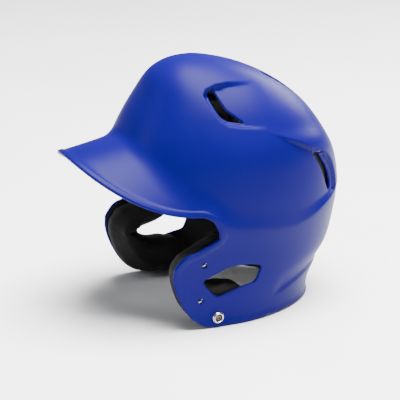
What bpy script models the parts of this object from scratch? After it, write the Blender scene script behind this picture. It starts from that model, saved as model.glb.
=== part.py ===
"""Batting helmet with two ear flaps, built from its separate pieces.

The helmet stands on its rim: +Z is up, the bill points to -Y, the wearer's left is +X,
and the origin is at the middle of the box's underside. Lengths are in millimetres and
become metres when a mesh is made. Angles around the shell are in degrees, from 0 at the
bill over 90 at the wearer's left to 180 at the nape.
"""

import math

import bmesh
import bpy
import numpy as np
from mathutils import Matrix, Vector

MM = 0.001
ORIGIN_SHIFT_Y = 2.2  # moves the profiles so that the origin is at the middle of the box

# Driving dimensions of the shell
TOP = 255.4
SHELL_THICKNESS = 3.2
BILL_HALF_WIDTH = 97.0
BILL_REACH = 118.5
BILL_CENTRE_Y = -30.0
BILL_ROUNDNESS = 2.2
BILL_TIP_Z = 166.3
BILL_ARCH = 0.00515
LIP_WIDTH = 5.0
NOTCH_ANGLE = 72.0
FLAP_FRONT_ANGLE = 51.6
SCOOP_DEPTH = 6.0
REAR_PANEL_RISE = 4.2

# Gaps and pad sizes
CLEARANCE = 1.4
FOAM_THICKNESS = 11.0
PAD_THICKNESS = 7.0
JAW_PAD_THICKNESS = 26.0
JAW_PAD_BACK_X = 83.2  # at the pad's lowest corner
JAW_PAD_BACK_LEAN = 0.045
JAW_PAD_LOWEST_Z = 4.0
JAW_PAD_FRONT_GAP = 4.4  # from the outer skin, along the flap's front edge
EAR_PAD_THICKNESS = 12.0
PAD_EDGE_LIFT = 1.2
PAD_EDGE_SLOPE = 1.35
SIDE_PAD_EDGE = 3.5
NAPE_EXTRA_GAP = 0.3
PAD_ON_FOAM_GAP = 0.5

# Hardware
INSERT_BARREL_RADIUS = 3.1
INSERT_BORE_RADIUS = 2.1
INSERT_FLANGE_RADIUS = 6.5
INSERT_FLANGE_THICKNESS = 1.2
INSERT_SINK = 0.4  # below the outer skin
SNAP_RADIUS = 6.0
SNAP_HEIGHT = 3.2
SNAP_BORE_RADIUS = 3.4
SCREW_SHANK_RADIUS = 1.7
SCREW_HEAD_RADIUS = 3.1
SCREW_HEAD_HEIGHT = 2.7
SCREW_SOCKET_RADIUS = 1.5
SCREW_SOCKET_FLOOR = 1.6
NUT_BORE_RADIUS = 2.0
NUT_SINK = 0.6
FIT_GAP = 0.3
HOLE_CUT_REACH = 9.0


def spline(points):
    """Smooth curve through (x, y) points, as a function of x."""
    xs = np.array([p[0] for p in points], float)
    ys = np.array([p[1] for p in points], float)
    step = np.diff(xs)
    rise = np.diff(ys) / step
    slope = np.zeros(len(xs))
    slope[1:-1] = (rise[:-1] * step[1:] + rise[1:] * step[:-1]) / (step[:-1] + step[1:])
    slope[0] = 1.5 * rise[0] - 0.5 * slope[1]
    slope[-1] = 1.5 * rise[-1] - 0.5 * slope[-2]

    def value(x):
        x = np.clip(np.asarray(x, float), xs[0], xs[-1])
        i = np.clip(np.searchsorted(xs, x) - 1, 0, len(xs) - 2)
        t = (x - xs[i]) / step[i]
        s = 1 - t
        ends = s * s * (1 + 2 * t) * ys[i] + t * t * (3 - 2 * t) * ys[i + 1]
        return ends + t * s * step[i] * (s * slope[i] - t * slope[i + 1])

    return value


def by_height(points):
    """Spline over height, spaced so that it is smooth where the dome closes at the top."""
    def depth(z):
        return np.sqrt(np.clip((TOP - np.asarray(z, float)) / TOP, 0, 1))

    curve = spline([(float(depth(z)), v) for z, v in points])
    return lambda z: curve(depth(z))


def smooth(x, start, end):
    t = np.clip((np.asarray(x, float) - start) / (end - start), 0, 1)
    return t * t * (3 - 2 * t)


# Side, front and back profiles: (height, distance) pairs, from the top down
MIDDLE = by_height([(TOP, -12), (239, -8), (203, 0), (150, 8), (100, 8), (50, 0), (0, -5)])
DOME_FRONT = by_height([(TOP, -12), (252.3, -34), (242, -52), (214, -69), (183, -85.6),
                        (150, -100), (113, -110), (60, -112), (0, -105)])
DOME_BACK = by_height([(TOP, -12), (252.3, 9.7), (244.2, 38.6), (222.8, 81.2), (196.4, 112),
                       (162.8, 132), (126, 140.5), (93, 141), (0, 141)])
DOME_SIDE = by_height([(TOP, 0), (239, 45.5), (203.5, 77.8), (173, 92), (140, 96.5),
                       (110, 97.5), (0, 97.5)])
WALL_BACK = by_height([(TOP, 0), (162.8, 135.2), (126, 143.6), (93, 142.4), (60, 135.8),
                       (36, 123.8), (17, 117.6), (0, 117.2)])
WALL_SIDE = by_height([(251, 102), (118, 102), (105, 100.5), (95, 98), (80, 94.5),
                       (60, 91.5), (30, 90.2), (0, 89.3)])

# Heights around the shell: (angle, height) pairs
CREASE = spline([(0, 178), (12, 176.8), (25, 170.5), (48, 146.5), (65, 132), (80, 119.5),
                 (97, 113), (108, 111.5), (122, 110), (135, 113.5), (147, 117), (180, 121)])
SHOULDER = spline([(58, 123), (63.5, 122), (68.5, 118), (72.5, 112), (77, 104.5), (84, 101),
                   (92, 99.8), (109, 97.4), (121, 97), (132, 102), (141, 109), (150, 114),
                   (180, 116)])
LIP = spline([(58, 118.5), (64, 116.8), (66, 114.5), (68, 111), (70, 104.5), (72, 96.8),
              (80, 93), (92, 91), (110, 88), (121, 88), (132, 93), (150, 104), (180, 106)])
RIM = spline([(72, 1.6), (76, 0.4), (80, -0.6), (88, -1.2), (98, -0.8), (108, 0.6), (120, 1.7),
              (138, 1.9), (152, 0.9), (165, -0.6), (180, -1)])
FLAP_TOP = spline([(FLAP_FRONT_ANGLE, 66.5), (54, 74.6), (62, 83.4), (70, 92.1), (71, 93.5),
                   (NOTCH_ANGLE, 96.8)])
FLAP_BOTTOM = spline([(FLAP_FRONT_ANGLE, 56), (53, 45.6), (55.7, 33.4), (61.7, 15), (65.5, 8.2),
                      (69, 4), (NOTCH_ANGLE, 1.6)])
CREASE_RADIUS = spline([(0, 7), (18, 10), (48, 15), (65, 12), (80, 7), (96, 3.5), (107, 2.5),
                        (135, 2), (147, 1.2), (180, 1.2)])
SHOULDER_RADIUS = spline([(0, 2.2), (40, 2.2), (60, 2.2), (70, 2.3), (80, 4), (92, 4.5),
                          (109, 3), (121, 2.5), (135, 1.8), (147, 1.2), (180, 1.2)])


def ring(angle, z, side, front, back, roundness_front, roundness_back):
    """Point of a level oval with its own half width, front and back at each height."""
    turn = np.radians(angle)
    s = np.sin(turn)
    c = np.cos(turn)
    middle = MIDDLE(z)
    width = np.maximum(side, 1e-6)
    length = np.maximum(np.where(c > 0, middle - front, back - middle), 1e-6)
    n = np.where(c > 0, roundness_front, roundness_back)
    radius = (np.abs(s / width) ** n + np.abs(c / length) ** n) ** (-1 / n)
    return np.stack([radius * s, middle - radius * c, z + 0 * radius], -1)


def relief(angle, z):
    """Height of the scoops (below the dome) and of the rear panel (above it)."""
    along = smooth(angle, 72, 76) * (1 - smooth(angle, 80, 125))
    across = smooth(z, 200 - 0.12 * (angle - 88), 207) * (1 - smooth(z, 230, 236))
    panel_edge = np.interp(z, [112, 124, 138, 150, 159.5, 167, 178, 187],
                           [155, 154.5, 153, 150, 145, 137, 126, 116])
    inside = smooth((angle - panel_edge) * 1.6, -4, 0)
    fade = (1 - smooth(z, 172, 194)) * (1 - 0.8 * smooth(angle - panel_edge, 6, 44))
    return REAR_PANEL_RISE * inside * fade - SCOOP_DEPTH * along * across


def dome(angle, z):
    z = np.asarray(z, float)
    flat = ring(angle, z, DOME_SIDE(z), DOME_FRONT(z), DOME_BACK(z), 2.2, 2.1)
    lift = relief(angle, z)[..., None]
    turn = np.radians(angle)
    lean = smooth(z, 120, TOP)
    outward = np.stack([np.sin(turn), -np.cos(turn), lean + 0 * turn], -1)
    return flat + outward * (lift / np.linalg.norm(outward, axis=-1, keepdims=True))


def wall(angle, z):
    z = np.asarray(z, float)
    roundness_front = 2.6 + 3.4 * smooth(z, 112, 78)
    roundness_back = 2.1 - 0.25 * smooth(z, 60, 0)
    return ring(angle, z, WALL_SIDE(z), DOME_FRONT(z), WALL_BACK(z),
                roundness_front, roundness_back)


def bill_edge(angle):
    """Where the ray at this angle meets the arched outline of the bill."""
    s = np.sin(np.radians(angle))
    c = np.cos(np.radians(angle))
    low = np.zeros_like(s)
    high = np.full_like(s, 260.0)
    for _ in range(40):
        radius = (low + high) / 2
        x = radius * s
        y = 8 - radius * c
        curved = (np.abs(x / BILL_HALF_WIDTH) ** BILL_ROUNDNESS
                  + np.abs((y - BILL_CENTRE_Y) / BILL_REACH) ** BILL_ROUNDNESS - 1)
        inside = np.where(y > BILL_CENTRE_Y, x / BILL_HALF_WIDTH - 1, curved) < 0
        low = np.where(inside, radius, low)
        high = np.where(inside, high, radius)
    return np.stack([x, y, BILL_TIP_Z - BILL_ARCH * x * x], -1)


def blend(a, b, share):
    share = np.asarray(share)[..., None]
    return a * (1 - share) + b * share


def toward(a, b, distance):
    """Point at this distance from a on the way to b."""
    path = b - a
    return a + path / np.linalg.norm(path, axis=-1, keepdims=True) * np.asarray(distance)[..., None]


def corner(a, b, c, t):
    return a * (1 - t) ** 2 + b * 2 * t * (1 - t) + c * t * t


def shell_rows(angle, dome_steps, corner_steps, ledge_steps, lip_steps):
    """Rows of points from the top of the dome to the lip, for an array of angles."""
    crease_gap = CREASE_RADIUS(angle)
    shoulder_gap = SHOULDER_RADIUS(angle)
    crease = dome(angle, CREASE(angle))
    lip = blend(bill_edge(angle), wall(angle, LIP(angle)), smooth(angle, 54, 66))
    on_wall = smooth(angle, 58, 72)
    shoulder = blend(toward(lip, crease, LIP_WIDTH + 0 * angle), wall(angle, SHOULDER(angle)), on_wall)
    start_z = CREASE(angle) + crease_gap
    above = dome(angle, start_z)
    ledge = np.linalg.norm(shoulder - crease, axis=-1)
    after = toward(crease, shoulder, np.minimum(crease_gap, 0.7 * ledge))
    before = toward(shoulder, crease, np.minimum(shoulder_gap, 0.2 * ledge))
    below = blend(toward(shoulder, lip, shoulder_gap),
                  wall(angle, SHOULDER(angle) - shoulder_gap), on_wall)
    rows = []
    for i in range(dome_steps):
        z = TOP - (TOP - start_z) * (1 - math.cos(math.pi / 2 * i / dome_steps))
        rows.append(dome(angle, z))
    for i in range(corner_steps + 1):
        rows.append(corner(above, crease, after, i / corner_steps))
    for i in range(1, ledge_steps):
        rows.append(after + (before - after) * (i / ledge_steps))
    for i in range(corner_steps + 1):
        rows.append(corner(before, shoulder, below, i / corner_steps))
    for i in range(1, lip_steps + 1):
        t = i / lip_steps
        on_skin = wall(angle, (SHOULDER(angle) - shoulder_gap) * (1 - t) + LIP(angle) * t)
        rows.append(blend(below + (lip - below) * t, on_skin, on_wall))
    return rows


def rows_between(angle, top, bottom, steps):
    """Rows of points down the wall between two heights, without the first."""
    return [wall(angle, top + (bottom - top) * i / steps) for i in range(1, steps + 1)]


# ---------------------------------------------------------------- Blender helpers

def clear_scene():
    for item in list(bpy.data.objects):
        bpy.data.objects.remove(item, do_unlink=True)


def material(name, colour, roughness, metallic=0.0):
    made = bpy.data.materials.new(name)
    made.use_nodes = True
    surface = made.node_tree.nodes["Principled BSDF"]
    surface.inputs["Base Color"].default_value = (*colour, 1.0)
    surface.inputs["Roughness"].default_value = roughness
    surface.inputs["Metallic"].default_value = metallic
    made.diffuse_color = (*colour, 1.0)
    return made


def add_object(name, mesh_maker, finish, sharp_degrees=35):
    """Turn a bmesh, in millimetres, into a named object in metres."""
    bmesh.ops.translate(mesh_maker, vec=(0, ORIGIN_SHIFT_Y, 0), verts=mesh_maker.verts)
    bmesh.ops.scale(mesh_maker, vec=(MM, MM, MM), verts=mesh_maker.verts)
    bmesh.ops.recalc_face_normals(mesh_maker, faces=mesh_maker.faces)
    mesh = bpy.data.meshes.new(name)
    mesh_maker.to_mesh(mesh)
    mesh_maker.free()
    mesh.shade_smooth()
    mesh.set_sharp_from_angle(angle=math.radians(sharp_degrees))
    made = bpy.data.objects.new(name, mesh)
    if finish:
        mesh.materials.append(finish)
    bpy.context.scene.collection.objects.link(made)
    return made


def mirrored_copy(source, name):
    """The same piece for the other side of the helmet."""
    mesh = source.data.copy()
    mesh.transform(Matrix.Scale(-1, 4, Vector((1, 0, 0))))
    mesh.flip_normals()
    made = bpy.data.objects.new(name, mesh)
    bpy.context.scene.collection.objects.link(made)
    return made


def boolean_cut(target, cutter):
    cutter.hide_render = True
    cutter.display_type = "WIRE"
    cut = target.modifiers.new("cut_" + cutter.name, "BOOLEAN")
    cut.operation = "DIFFERENCE"
    cut.solver = "EXACT"
    cut.object = cutter


def quad_sheet(mesh, rows):
    """Faces between rows of vertices; a vertex shared by a whole row gives triangles."""
    for upper, lower in zip(rows[:-1], rows[1:]):
        for i in range(len(upper) - 1):
            loop = []
            for vert in (upper[i], lower[i], lower[i + 1], upper[i + 1]):
                if vert not in loop:
                    loop.append(vert)
            if len(loop) > 2:
                mesh.faces.new(loop)


# ---------------------------------------------------------------- the shell

def half_shell():
    """Left half of the shell's outer skin, open along the middle plane."""
    front = np.concatenate([np.linspace(0, 60, 9), [64.5, 68.5]])
    rear = np.concatenate([[NOTCH_ANGLE], np.linspace(78, 180, 15)])
    angles = np.concatenate([front, rear])
    rows = shell_rows(angles, dome_steps=11, corner_steps=2, ledge_steps=2, lip_steps=1)
    mesh = bmesh.new()
    apex = mesh.verts.new(rows[0][0])
    sheet = [[apex] * len(angles)]
    for row in rows[1:]:
        sheet.append([mesh.verts.new(point) for point in row])
    quad_sheet(mesh, sheet)

    wall_steps = 6
    lip_row = sheet[-1][len(front):]
    lower = [lip_row]
    for row in rows_between(rear, LIP(rear), RIM(rear), wall_steps):
        lower.append([mesh.verts.new(point) for point in row])
    quad_sheet(mesh, lower)

    flap = np.array([FLAP_FRONT_ANGLE, 52.6, 54, 57, 61.5, 66, 70])
    flap_rows = [wall(flap, FLAP_TOP(flap))]
    flap_rows += rows_between(flap, FLAP_TOP(flap), FLAP_BOTTOM(flap), wall_steps)
    joined = []
    for row, edge in zip(flap_rows, lower):
        joined.append([mesh.verts.new(point) for point in row] + [edge[0]])
    quad_sheet(mesh, joined)
    for vert in mesh.verts:
        if abs(vert.co.x) < 0.01:
            vert.co.x = 0.0
    return mesh


def prism(name, outline, low, high, axis="X"):
    """Straight cutter: an outline in the plane across an axis, between two stations."""
    mesh = bmesh.new()
    ends = []
    for station in (low, high):
        ring_verts = []
        for a, b in outline:
            place = {"X": (station, a, b), "Y": (a, station, b)}[axis]
            ring_verts.append(mesh.verts.new(place))
        ends.append(ring_verts)
    mesh.faces.new(ends[0])
    mesh.faces.new(ends[1])
    count = len(outline)
    for i in range(count):
        j = (i + 1) % count
        mesh.faces.new((ends[0][i], ends[0][j], ends[1][j], ends[1][i]))
    return add_object(name, mesh, None)


EAR_PORT = [(-37.8, 51.0), (-31.4, 53.5), (-11.2, 61.5), (11.4, 62.0), (25.8, 58.0),
            (19.7, 42.5), (2.4, 39.0), (-20.7, 31.5), (-27.6, 35.5), (-37.2, 47.0)]
FRONT_VENT = [(-12.6, 231.0), (-18.8, 227.6), (-18.4, 222.0), (-16.0, 214.0), (-12.0, 207.6),
              (-7.0, 204.4), (9.0, 201.6), (-5.5, 213.0), (-9.5, 222.5)]
REAR_VENT = [(74.0, 163.2), (70.0, 160.0), (65.0, 149.0), (60.9, 136.0), (59.3, 126.0),
             (60.4, 119.5), (63.6, 119.5), (66.8, 128.0), (69.0, 138.5), (71.3, 149.6)]
CROWN_SLOT = [(14.0, 56.0), (19.0, 58.0), (20.0, 86.0), (15.0, 88.0)]


def surface_frame(angle, z):
    """Point on the wall, with the outward direction there."""
    point = wall(np.float64(angle), z)
    across = wall(np.float64(angle + 0.5), z) - wall(np.float64(angle - 0.5), z)
    upward = wall(np.float64(angle), z + 0.5) - wall(np.float64(angle), z - 0.5)
    outward = np.cross(across, upward)
    outward /= np.linalg.norm(outward)
    if outward[0] < 0:
        outward = -outward
    return Vector(point), Vector(outward)


INSERT_PLACES = {"upper": (66.3, 67.5), "lower": (67.0, 30.0)}
SNAP_PLACE = (79.0, 10.5)


def turned(name, profile, place, outward, finish, sides=16, reference=0.0):
    """Solid of revolution; profile pairs are (radius, distance outward from the place)."""
    mesh = bmesh.new()
    loops = []
    for radius, reach in profile:
        loop = []
        for i in range(sides):
            turn = 2 * math.pi * i / sides + reference
            loop.append(mesh.verts.new((radius * math.cos(turn), radius * math.sin(turn), reach)))
        loops.append(loop)
    if profile[0] != profile[-1]:
        for loop in (loops[0], loops[-1]):
            if loop[0].co.xy.length > 0:
                mesh.faces.new(loop)
    for a, b in zip(loops[:-1], loops[1:]):
        for i in range(sides):
            j = (i + 1) % sides
            mesh.faces.new((a[i], a[j], b[j], b[i]))
    bmesh.ops.remove_doubles(mesh, verts=mesh.verts, dist=1e-4)
    aim = outward.to_track_quat("Z", "Y").to_matrix().to_4x4()
    mesh.transform(Matrix.Translation(place) @ aim)
    return add_object(name, mesh, finish)


def build_shell(finish):
    shell = add_object("shell", half_shell(), finish)
    mirror = shell.modifiers.new("both_halves", "MIRROR")
    mirror.use_axis[0] = True
    mirror.merge_threshold = 0.0001
    skin = shell.modifiers.new("wall_thickness", "SOLIDIFY")
    skin.thickness = SHELL_THICKNESS * MM
    skin.offset = -1.0
    boolean_cut(shell, prism("cut_ear_ports", EAR_PORT, -130, 130))
    for side, sign in (("left", 1), ("right", -1)):
        boolean_cut(shell, prism("cut_front_vent_" + side, FRONT_VENT, sign * 40, sign * 110))
        rear = [(sign * a, b) for a, b in REAR_VENT]
        boolean_cut(shell, prism("cut_rear_vent_" + side, rear, 60, 150, "Y"))
        slot = bmesh.new()
        low = [slot.verts.new((sign * x, y, 190)) for x, y in CROWN_SLOT]
        high = [slot.verts.new((sign * x, y, 262)) for x, y in CROWN_SLOT]
        slot.faces.new(low)
        slot.faces.new(high)
        for i in range(4):
            slot.faces.new((low[i], low[i - 3], high[i - 3], high[i]))
        boolean_cut(shell, add_object("cut_crown_slot_" + side, slot, None))
        hole = INSERT_BARREL_RADIUS + FIT_GAP
        for number, (angle, z) in enumerate([*INSERT_PLACES.values(), SNAP_PLACE]):
            point, outward = surface_frame(angle, z)
            point.x *= sign
            outward.x *= sign
            boolean_cut(shell, turned(f"cut_hole_{side}_{number}",
                                      [(hole, -HOLE_CUT_REACH), (hole, HOLE_CUT_REACH)],
                                      point, outward, None))
    floor = [(-160, -30), (160, -30), (160, 0), (-160, 0)]
    boolean_cut(shell, prism("cut_floor", floor, -160, 160))
    return shell


# ---------------------------------------------------------------- foam and pads

def inward(surface, angle, z, depth):
    """Points at a depth below a surface, along its own normal."""
    point = surface(angle, z)
    across = surface(angle + 0.4, z) - surface(angle - 0.4, z)
    upward = surface(angle, z + 0.4) - surface(angle, z - 0.4)
    normal = np.cross(across, upward)
    normal /= np.linalg.norm(normal, axis=-1, keepdims=True)
    facing = np.sum(normal * (point - np.array([0.0, 0.0, 90.0])), axis=-1, keepdims=True)
    depths = np.broadcast_to(depth, point.shape[:-1])[..., None]
    return point - normal * np.sign(facing) * depths


def plain_dome(angle, z):
    z = np.asarray(z, float)
    return ring(angle, z, DOME_SIDE(z), DOME_FRONT(z), DOME_BACK(z), 2.2, 2.1)


def lining(name, surface, finish, angles, heights, outer, thickness, columns=7, levels=5, tuck=3.0):
    """Block that follows the shell: a patch between two depths with eased inner edges."""
    u = np.linspace(angles[0], angles[1], columns)
    v = np.linspace(heights[0], heights[1], levels)
    grid_angle, grid_z = np.meshgrid(u, v)
    back = inward(surface, grid_angle, grid_z, outer)
    easing = np.zeros_like(grid_angle)
    easing[0, :] = easing[-1, :] = easing[:, 0] = easing[:, -1] = tuck
    face = inward(surface, grid_angle, grid_z, outer + thickness - easing)
    mesh = bmesh.new()
    back_verts = [[mesh.verts.new(p) for p in row] for row in back]
    face_verts = [[mesh.verts.new(p) for p in row] for row in face]
    quad_sheet(mesh, back_verts)
    quad_sheet(mesh, face_verts)

    def border(grid):
        loop = grid[0][:-1] + [row[-1] for row in grid[:-1]]
        return loop + grid[-1][:0:-1] + [row[0] for row in grid[:0:-1]]

    outer_loop = border(back_verts)
    inner_loop = border(face_verts)
    for i in range(len(outer_loop)):
        mesh.faces.new((outer_loop[i - 1], outer_loop[i], inner_loop[i], inner_loop[i - 1]))
    return add_object(name, mesh, finish, 50)


def disc_lining(name, finish, outer, thickness, rim_z, columns=20, rings=3, tuck=3.0):
    """Round block under the top of the dome."""
    mesh = bmesh.new()
    u = np.linspace(0, 360, columns, endpoint=False)
    mirrored = np.where(u > 180, 360 - u, u)
    side = np.where(u > 180, -1.0, 1.0)
    stacks = []
    for depth, edge_depth in ((outer, outer), (outer + thickness, outer + thickness - tuck)):
        loops = []
        for k in range(1, rings + 1):
            z = TOP - (TOP - rim_z) * (k / rings) ** 2
            points = inward(plain_dome, mirrored, z + 0 * u, edge_depth if k == rings else depth)
            points[:, 0] *= side
            loops.append([mesh.verts.new(p) for p in points])
        centre = mesh.verts.new((0, float(MIDDLE(TOP)), TOP - depth))
        stacks.append((centre, loops))
    for centre, loops in stacks:
        for i in range(columns):
            mesh.faces.new((centre, loops[0][i - 1], loops[0][i]))
            for a, b in zip(loops[:-1], loops[1:]):
                mesh.faces.new((a[i - 1], b[i - 1], b[i], a[i]))
    top = stacks[0][1][-1]
    low = stacks[1][1][-1]
    for i in range(columns):
        mesh.faces.new((top[i - 1], top[i], low[i], low[i - 1]))
    return add_object(name, mesh, finish, 50)


def wall_x(y, z):
    """Half width of the outer skin at a place in side view."""
    low, high = 20.0, 175.0
    for _ in range(40):
        middle = (low + high) / 2
        if wall(np.float64(middle), z)[1] < y:
            low = middle
        else:
            high = middle
    return float(wall(np.float64(middle), z)[0])


def inset(outline, distances):
    """Outline moved inward by a distance at each corner."""
    moved = []
    count = len(outline)
    area = sum(outline[i - 1][0] * outline[i][1] - outline[i][0] * outline[i - 1][1]
               for i in range(count))
    turn = 1 if area > 0 else -1
    for i in range(count):
        before = Vector(outline[i - 1])
        here = Vector(outline[i])
        after = Vector(outline[(i + 1) % count])
        first = (here - before).normalized()
        second = (after - here).normalized()
        across = Vector((-first.y - second.y, first.x + second.x)) * turn
        across.normalize()
        along = Vector((-first.y, first.x)) * turn
        moved.append(tuple(here + across * distances[i] / max(0.35, across.dot(along))))
    return moved


def side_pad(name, finish, outline, back_x, thickness, edges, border=None):
    """Pad against the inside of the flap, with a chamfered inner edge.

    back_x gives how far out the back of the pad is at a place in side view, and edges how
    far the inner face is cut back from each corner of the outline. The border, if given, is
    a pair: how far out the outline reaches at each corner, and how wide that step is.
    """
    mesh = bmesh.new()
    loops = []
    sides = [thickness - edge * PAD_EDGE_SLOPE + PAD_EDGE_LIFT for edge in edges]
    for points, depths in ((outline, [0.0] * len(outline)), (outline, sides),
                           (inset(outline, edges), [thickness] * len(outline))):
        loops.append([mesh.verts.new((back_x(y, z) - depth, y, z))
                      for (y, z), depth in zip(points, depths)])
    if border:
        for vert, (reach, width) in zip(loops[0], border):
            vert.co.x = reach
        inner = inset(outline, [width for reach, width in border])
        loops.insert(0, [mesh.verts.new((back_x(y, z), y, z)) for y, z in inner])
    mesh.faces.new(loops[0])
    mesh.faces.new(loops[-1])
    for a, b in zip(loops[:-1], loops[1:]):
        for i in range(len(a)):
            mesh.faces.new((a[i - 1], a[i], b[i], b[i - 1]))
    return add_object(name, mesh, finish, 50)


# Outline of the jaw pad, with how far its inner edge is cut back at each corner
JAW_PAD = [((-10.0, 92.0), 6.5), ((-19.0, 92.0), 6.5), ((-27.4, 90.4), 7.0), ((-46.0, 82.0), 8.0),
           ((-59.8, 75.4), 9.5), ((-68.2, 66.6), 11.5), ((-70.2, 57.0), 13.0), ((-68.2, 45.6), 14.0),
           ((-62.6, 30.4), 14.5), ((-51.8, 14.6), 14.0), ((-40.4, 6.4), 12.0), ((-28.0, 4.0), 9.0),
           ((2.0, 4.0), 6.5), ((14.0, 8.0), 6.5), ((18.0, 18.0), 6.5), ((14.0, 30.0), 6.5),
           ((3.0, 39.0), 6.5), ((-12.0, 42.5), 6.5), ((-24.0, 43.0), 7.0), ((-34.0, 46.5), 11.0),
           ((-39.5, 52.0), 14.0), ((-32.0, 56.5), 12.0), ((-21.0, 62.0), 8.0), ((-10.0, 68.0), 6.5)]
EAR_PAD = [(2.0, 95.0), (30.0, 97.0), (52.0, 90.0), (66.0, 74.0), (70.0, 52.0), (67.0, 30.0),
           (61.0, 15.0), (46.0, 15.0), (50.0, 30.0), (52.0, 50.0), (47.0, 64.0), (36.0, 73.0),
           (22.0, 77.0), (-2.0, 78.0), (-5.0, 88.0)]


def jaw_pad_back(y, z):
    return JAW_PAD_BACK_X + JAW_PAD_BACK_LEAN * (z - JAW_PAD_LOWEST_Z)


def jaw_pad_border(y, z):
    """Reach of the pad's outline, and width of its step: out to the flap along the front."""
    near_front = float(smooth(y, -44, -50))
    at_flap = wall_x(y, z) - JAW_PAD_FRONT_GAP
    plain = jaw_pad_back(y, z)
    return plain + (at_flap - plain) * near_front, 1.5 + 3.5 * near_front


def build_liner(foam, cloth):
    behind_shell = SHELL_THICKNESS + CLEARANCE
    on_foam = behind_shell + FOAM_THICKNESS + PAD_ON_FOAM_GAP
    disc_lining("crown_foam", foam, behind_shell, FOAM_THICKNESS, 240.0)
    disc_lining("crown_pad", cloth, on_foam, PAD_THICKNESS, 246.0, columns=18, rings=2)
    lining("brow_foam", plain_dome, foam, (-40, 40), (184, 226), behind_shell,
           FOAM_THICKNESS, columns=11)
    lining("brow_pad", plain_dome, cloth, (-34, 34), (186, 206), on_foam, PAD_THICKNESS,
           columns=9, levels=3)
    left = lining("left_side_foam", plain_dome, foam, (54, 128), (141, 194), behind_shell,
                  FOAM_THICKNESS, columns=11)
    mirrored_copy(left, "right_side_foam")
    left = lining("left_temple_foam", plain_dome, foam, (75, 130), (100, 138.5), behind_shell,
                  FOAM_THICKNESS, columns=9)
    mirrored_copy(left, "right_temple_foam")
    left = lining("left_temple_pad", plain_dome, cloth, (58, 86), (145, 180), on_foam,
                  PAD_THICKNESS, columns=6, levels=4)
    mirrored_copy(left, "right_temple_pad")
    left = lining("left_rear_pad", plain_dome, cloth, (94, 124), (145, 180), on_foam,
                  PAD_THICKNESS, columns=6, levels=4)
    mirrored_copy(left, "right_rear_pad")
    lining("rear_foam", plain_dome, foam, (136, 224), (112, 200), behind_shell,
           FOAM_THICKNESS, columns=13, levels=6)
    lining("nape_foam", wall, foam, (138, 222), (30, 88), behind_shell + NAPE_EXTRA_GAP,
           FOAM_THICKNESS, columns=13)
    lining("nape_pad", wall, cloth, (150, 210), (38, 76), on_foam + NAPE_EXTRA_GAP,
           PAD_THICKNESS, columns=9, levels=4)
    outline = [place for place, edge in JAW_PAD]
    border = [jaw_pad_border(y, z) for y, z in outline]
    left = side_pad("left_jaw_pad", cloth, outline, jaw_pad_back, JAW_PAD_THICKNESS,
                    [edge for place, edge in JAW_PAD], border)
    mirrored_copy(left, "right_jaw_pad")
    left = side_pad("left_ear_pad", foam, EAR_PAD, lambda y, z: wall_x(y, z) - behind_shell,
                    EAR_PAD_THICKNESS, [SIDE_PAD_EDGE] * len(EAR_PAD))
    mirrored_copy(left, "right_ear_pad")


# ---------------------------------------------------------------- hardware

def build_hardware(steel, brass):
    inner = -SHELL_THICKNESS - FIT_GAP
    flange = inner - INSERT_FLANGE_THICKNESS
    insert_profile = [
        (INSERT_BORE_RADIUS, -INSERT_SINK), (INSERT_BARREL_RADIUS, -INSERT_SINK),
        (INSERT_BARREL_RADIUS, inner), (INSERT_FLANGE_RADIUS, inner),
        (INSERT_FLANGE_RADIUS, flange), (INSERT_BORE_RADIUS, flange),
        (INSERT_BORE_RADIUS, -INSERT_SINK)]
    ring_profile = [
        (SNAP_BORE_RADIUS, FIT_GAP), (SNAP_RADIUS, FIT_GAP),
        (SNAP_RADIUS, SNAP_HEIGHT * 0.55), (SNAP_RADIUS * 0.88, SNAP_HEIGHT * 0.9),
        (SNAP_RADIUS * 0.73, SNAP_HEIGHT), (SNAP_RADIUS * 0.62, SNAP_HEIGHT * 0.85),
        (SNAP_BORE_RADIUS, SNAP_HEIGHT * 0.38), (SNAP_BORE_RADIUS, FIT_GAP)]
    screw_profile = [
        (0.0, SCREW_SOCKET_FLOOR), (SCREW_SOCKET_RADIUS, SCREW_SOCKET_FLOOR),
        (SCREW_SOCKET_RADIUS, SCREW_HEAD_HEIGHT), (SCREW_HEAD_RADIUS * 0.87, SCREW_HEAD_HEIGHT),
        (SCREW_HEAD_RADIUS, SCREW_HEAD_HEIGHT * 0.7), (SCREW_HEAD_RADIUS, FIT_GAP),
        (SCREW_SHANK_RADIUS, FIT_GAP), (SCREW_SHANK_RADIUS, flange), (0.0, flange)]
    nut_profile = [
        (NUT_BORE_RADIUS, -NUT_SINK), (INSERT_BARREL_RADIUS, -NUT_SINK),
        (INSERT_BARREL_RADIUS, inner), (INSERT_FLANGE_RADIUS, inner),
        (INSERT_FLANGE_RADIUS, flange), (NUT_BORE_RADIUS, flange), (NUT_BORE_RADIUS, -NUT_SINK)]
    for side, sign in (("left", 1), ("right", -1)):
        def place_at(angle, z):
            point, outward = surface_frame(angle, z)
            point.x *= sign
            outward.x *= sign
            return point, outward

        for level, spot in INSERT_PLACES.items():
            point, outward = place_at(*spot)
            turned(f"{side}_{level}_guard_insert", insert_profile, point, outward, steel)
        point, outward = place_at(*SNAP_PLACE)
        turned(f"{side}_snap_stud", ring_profile, point, outward, steel, sides=20)
        turned(f"{side}_snap_screw", screw_profile, point, outward, brass, sides=12)
        turned(f"{side}_snap_nut", nut_profile, point, outward, steel)


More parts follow.
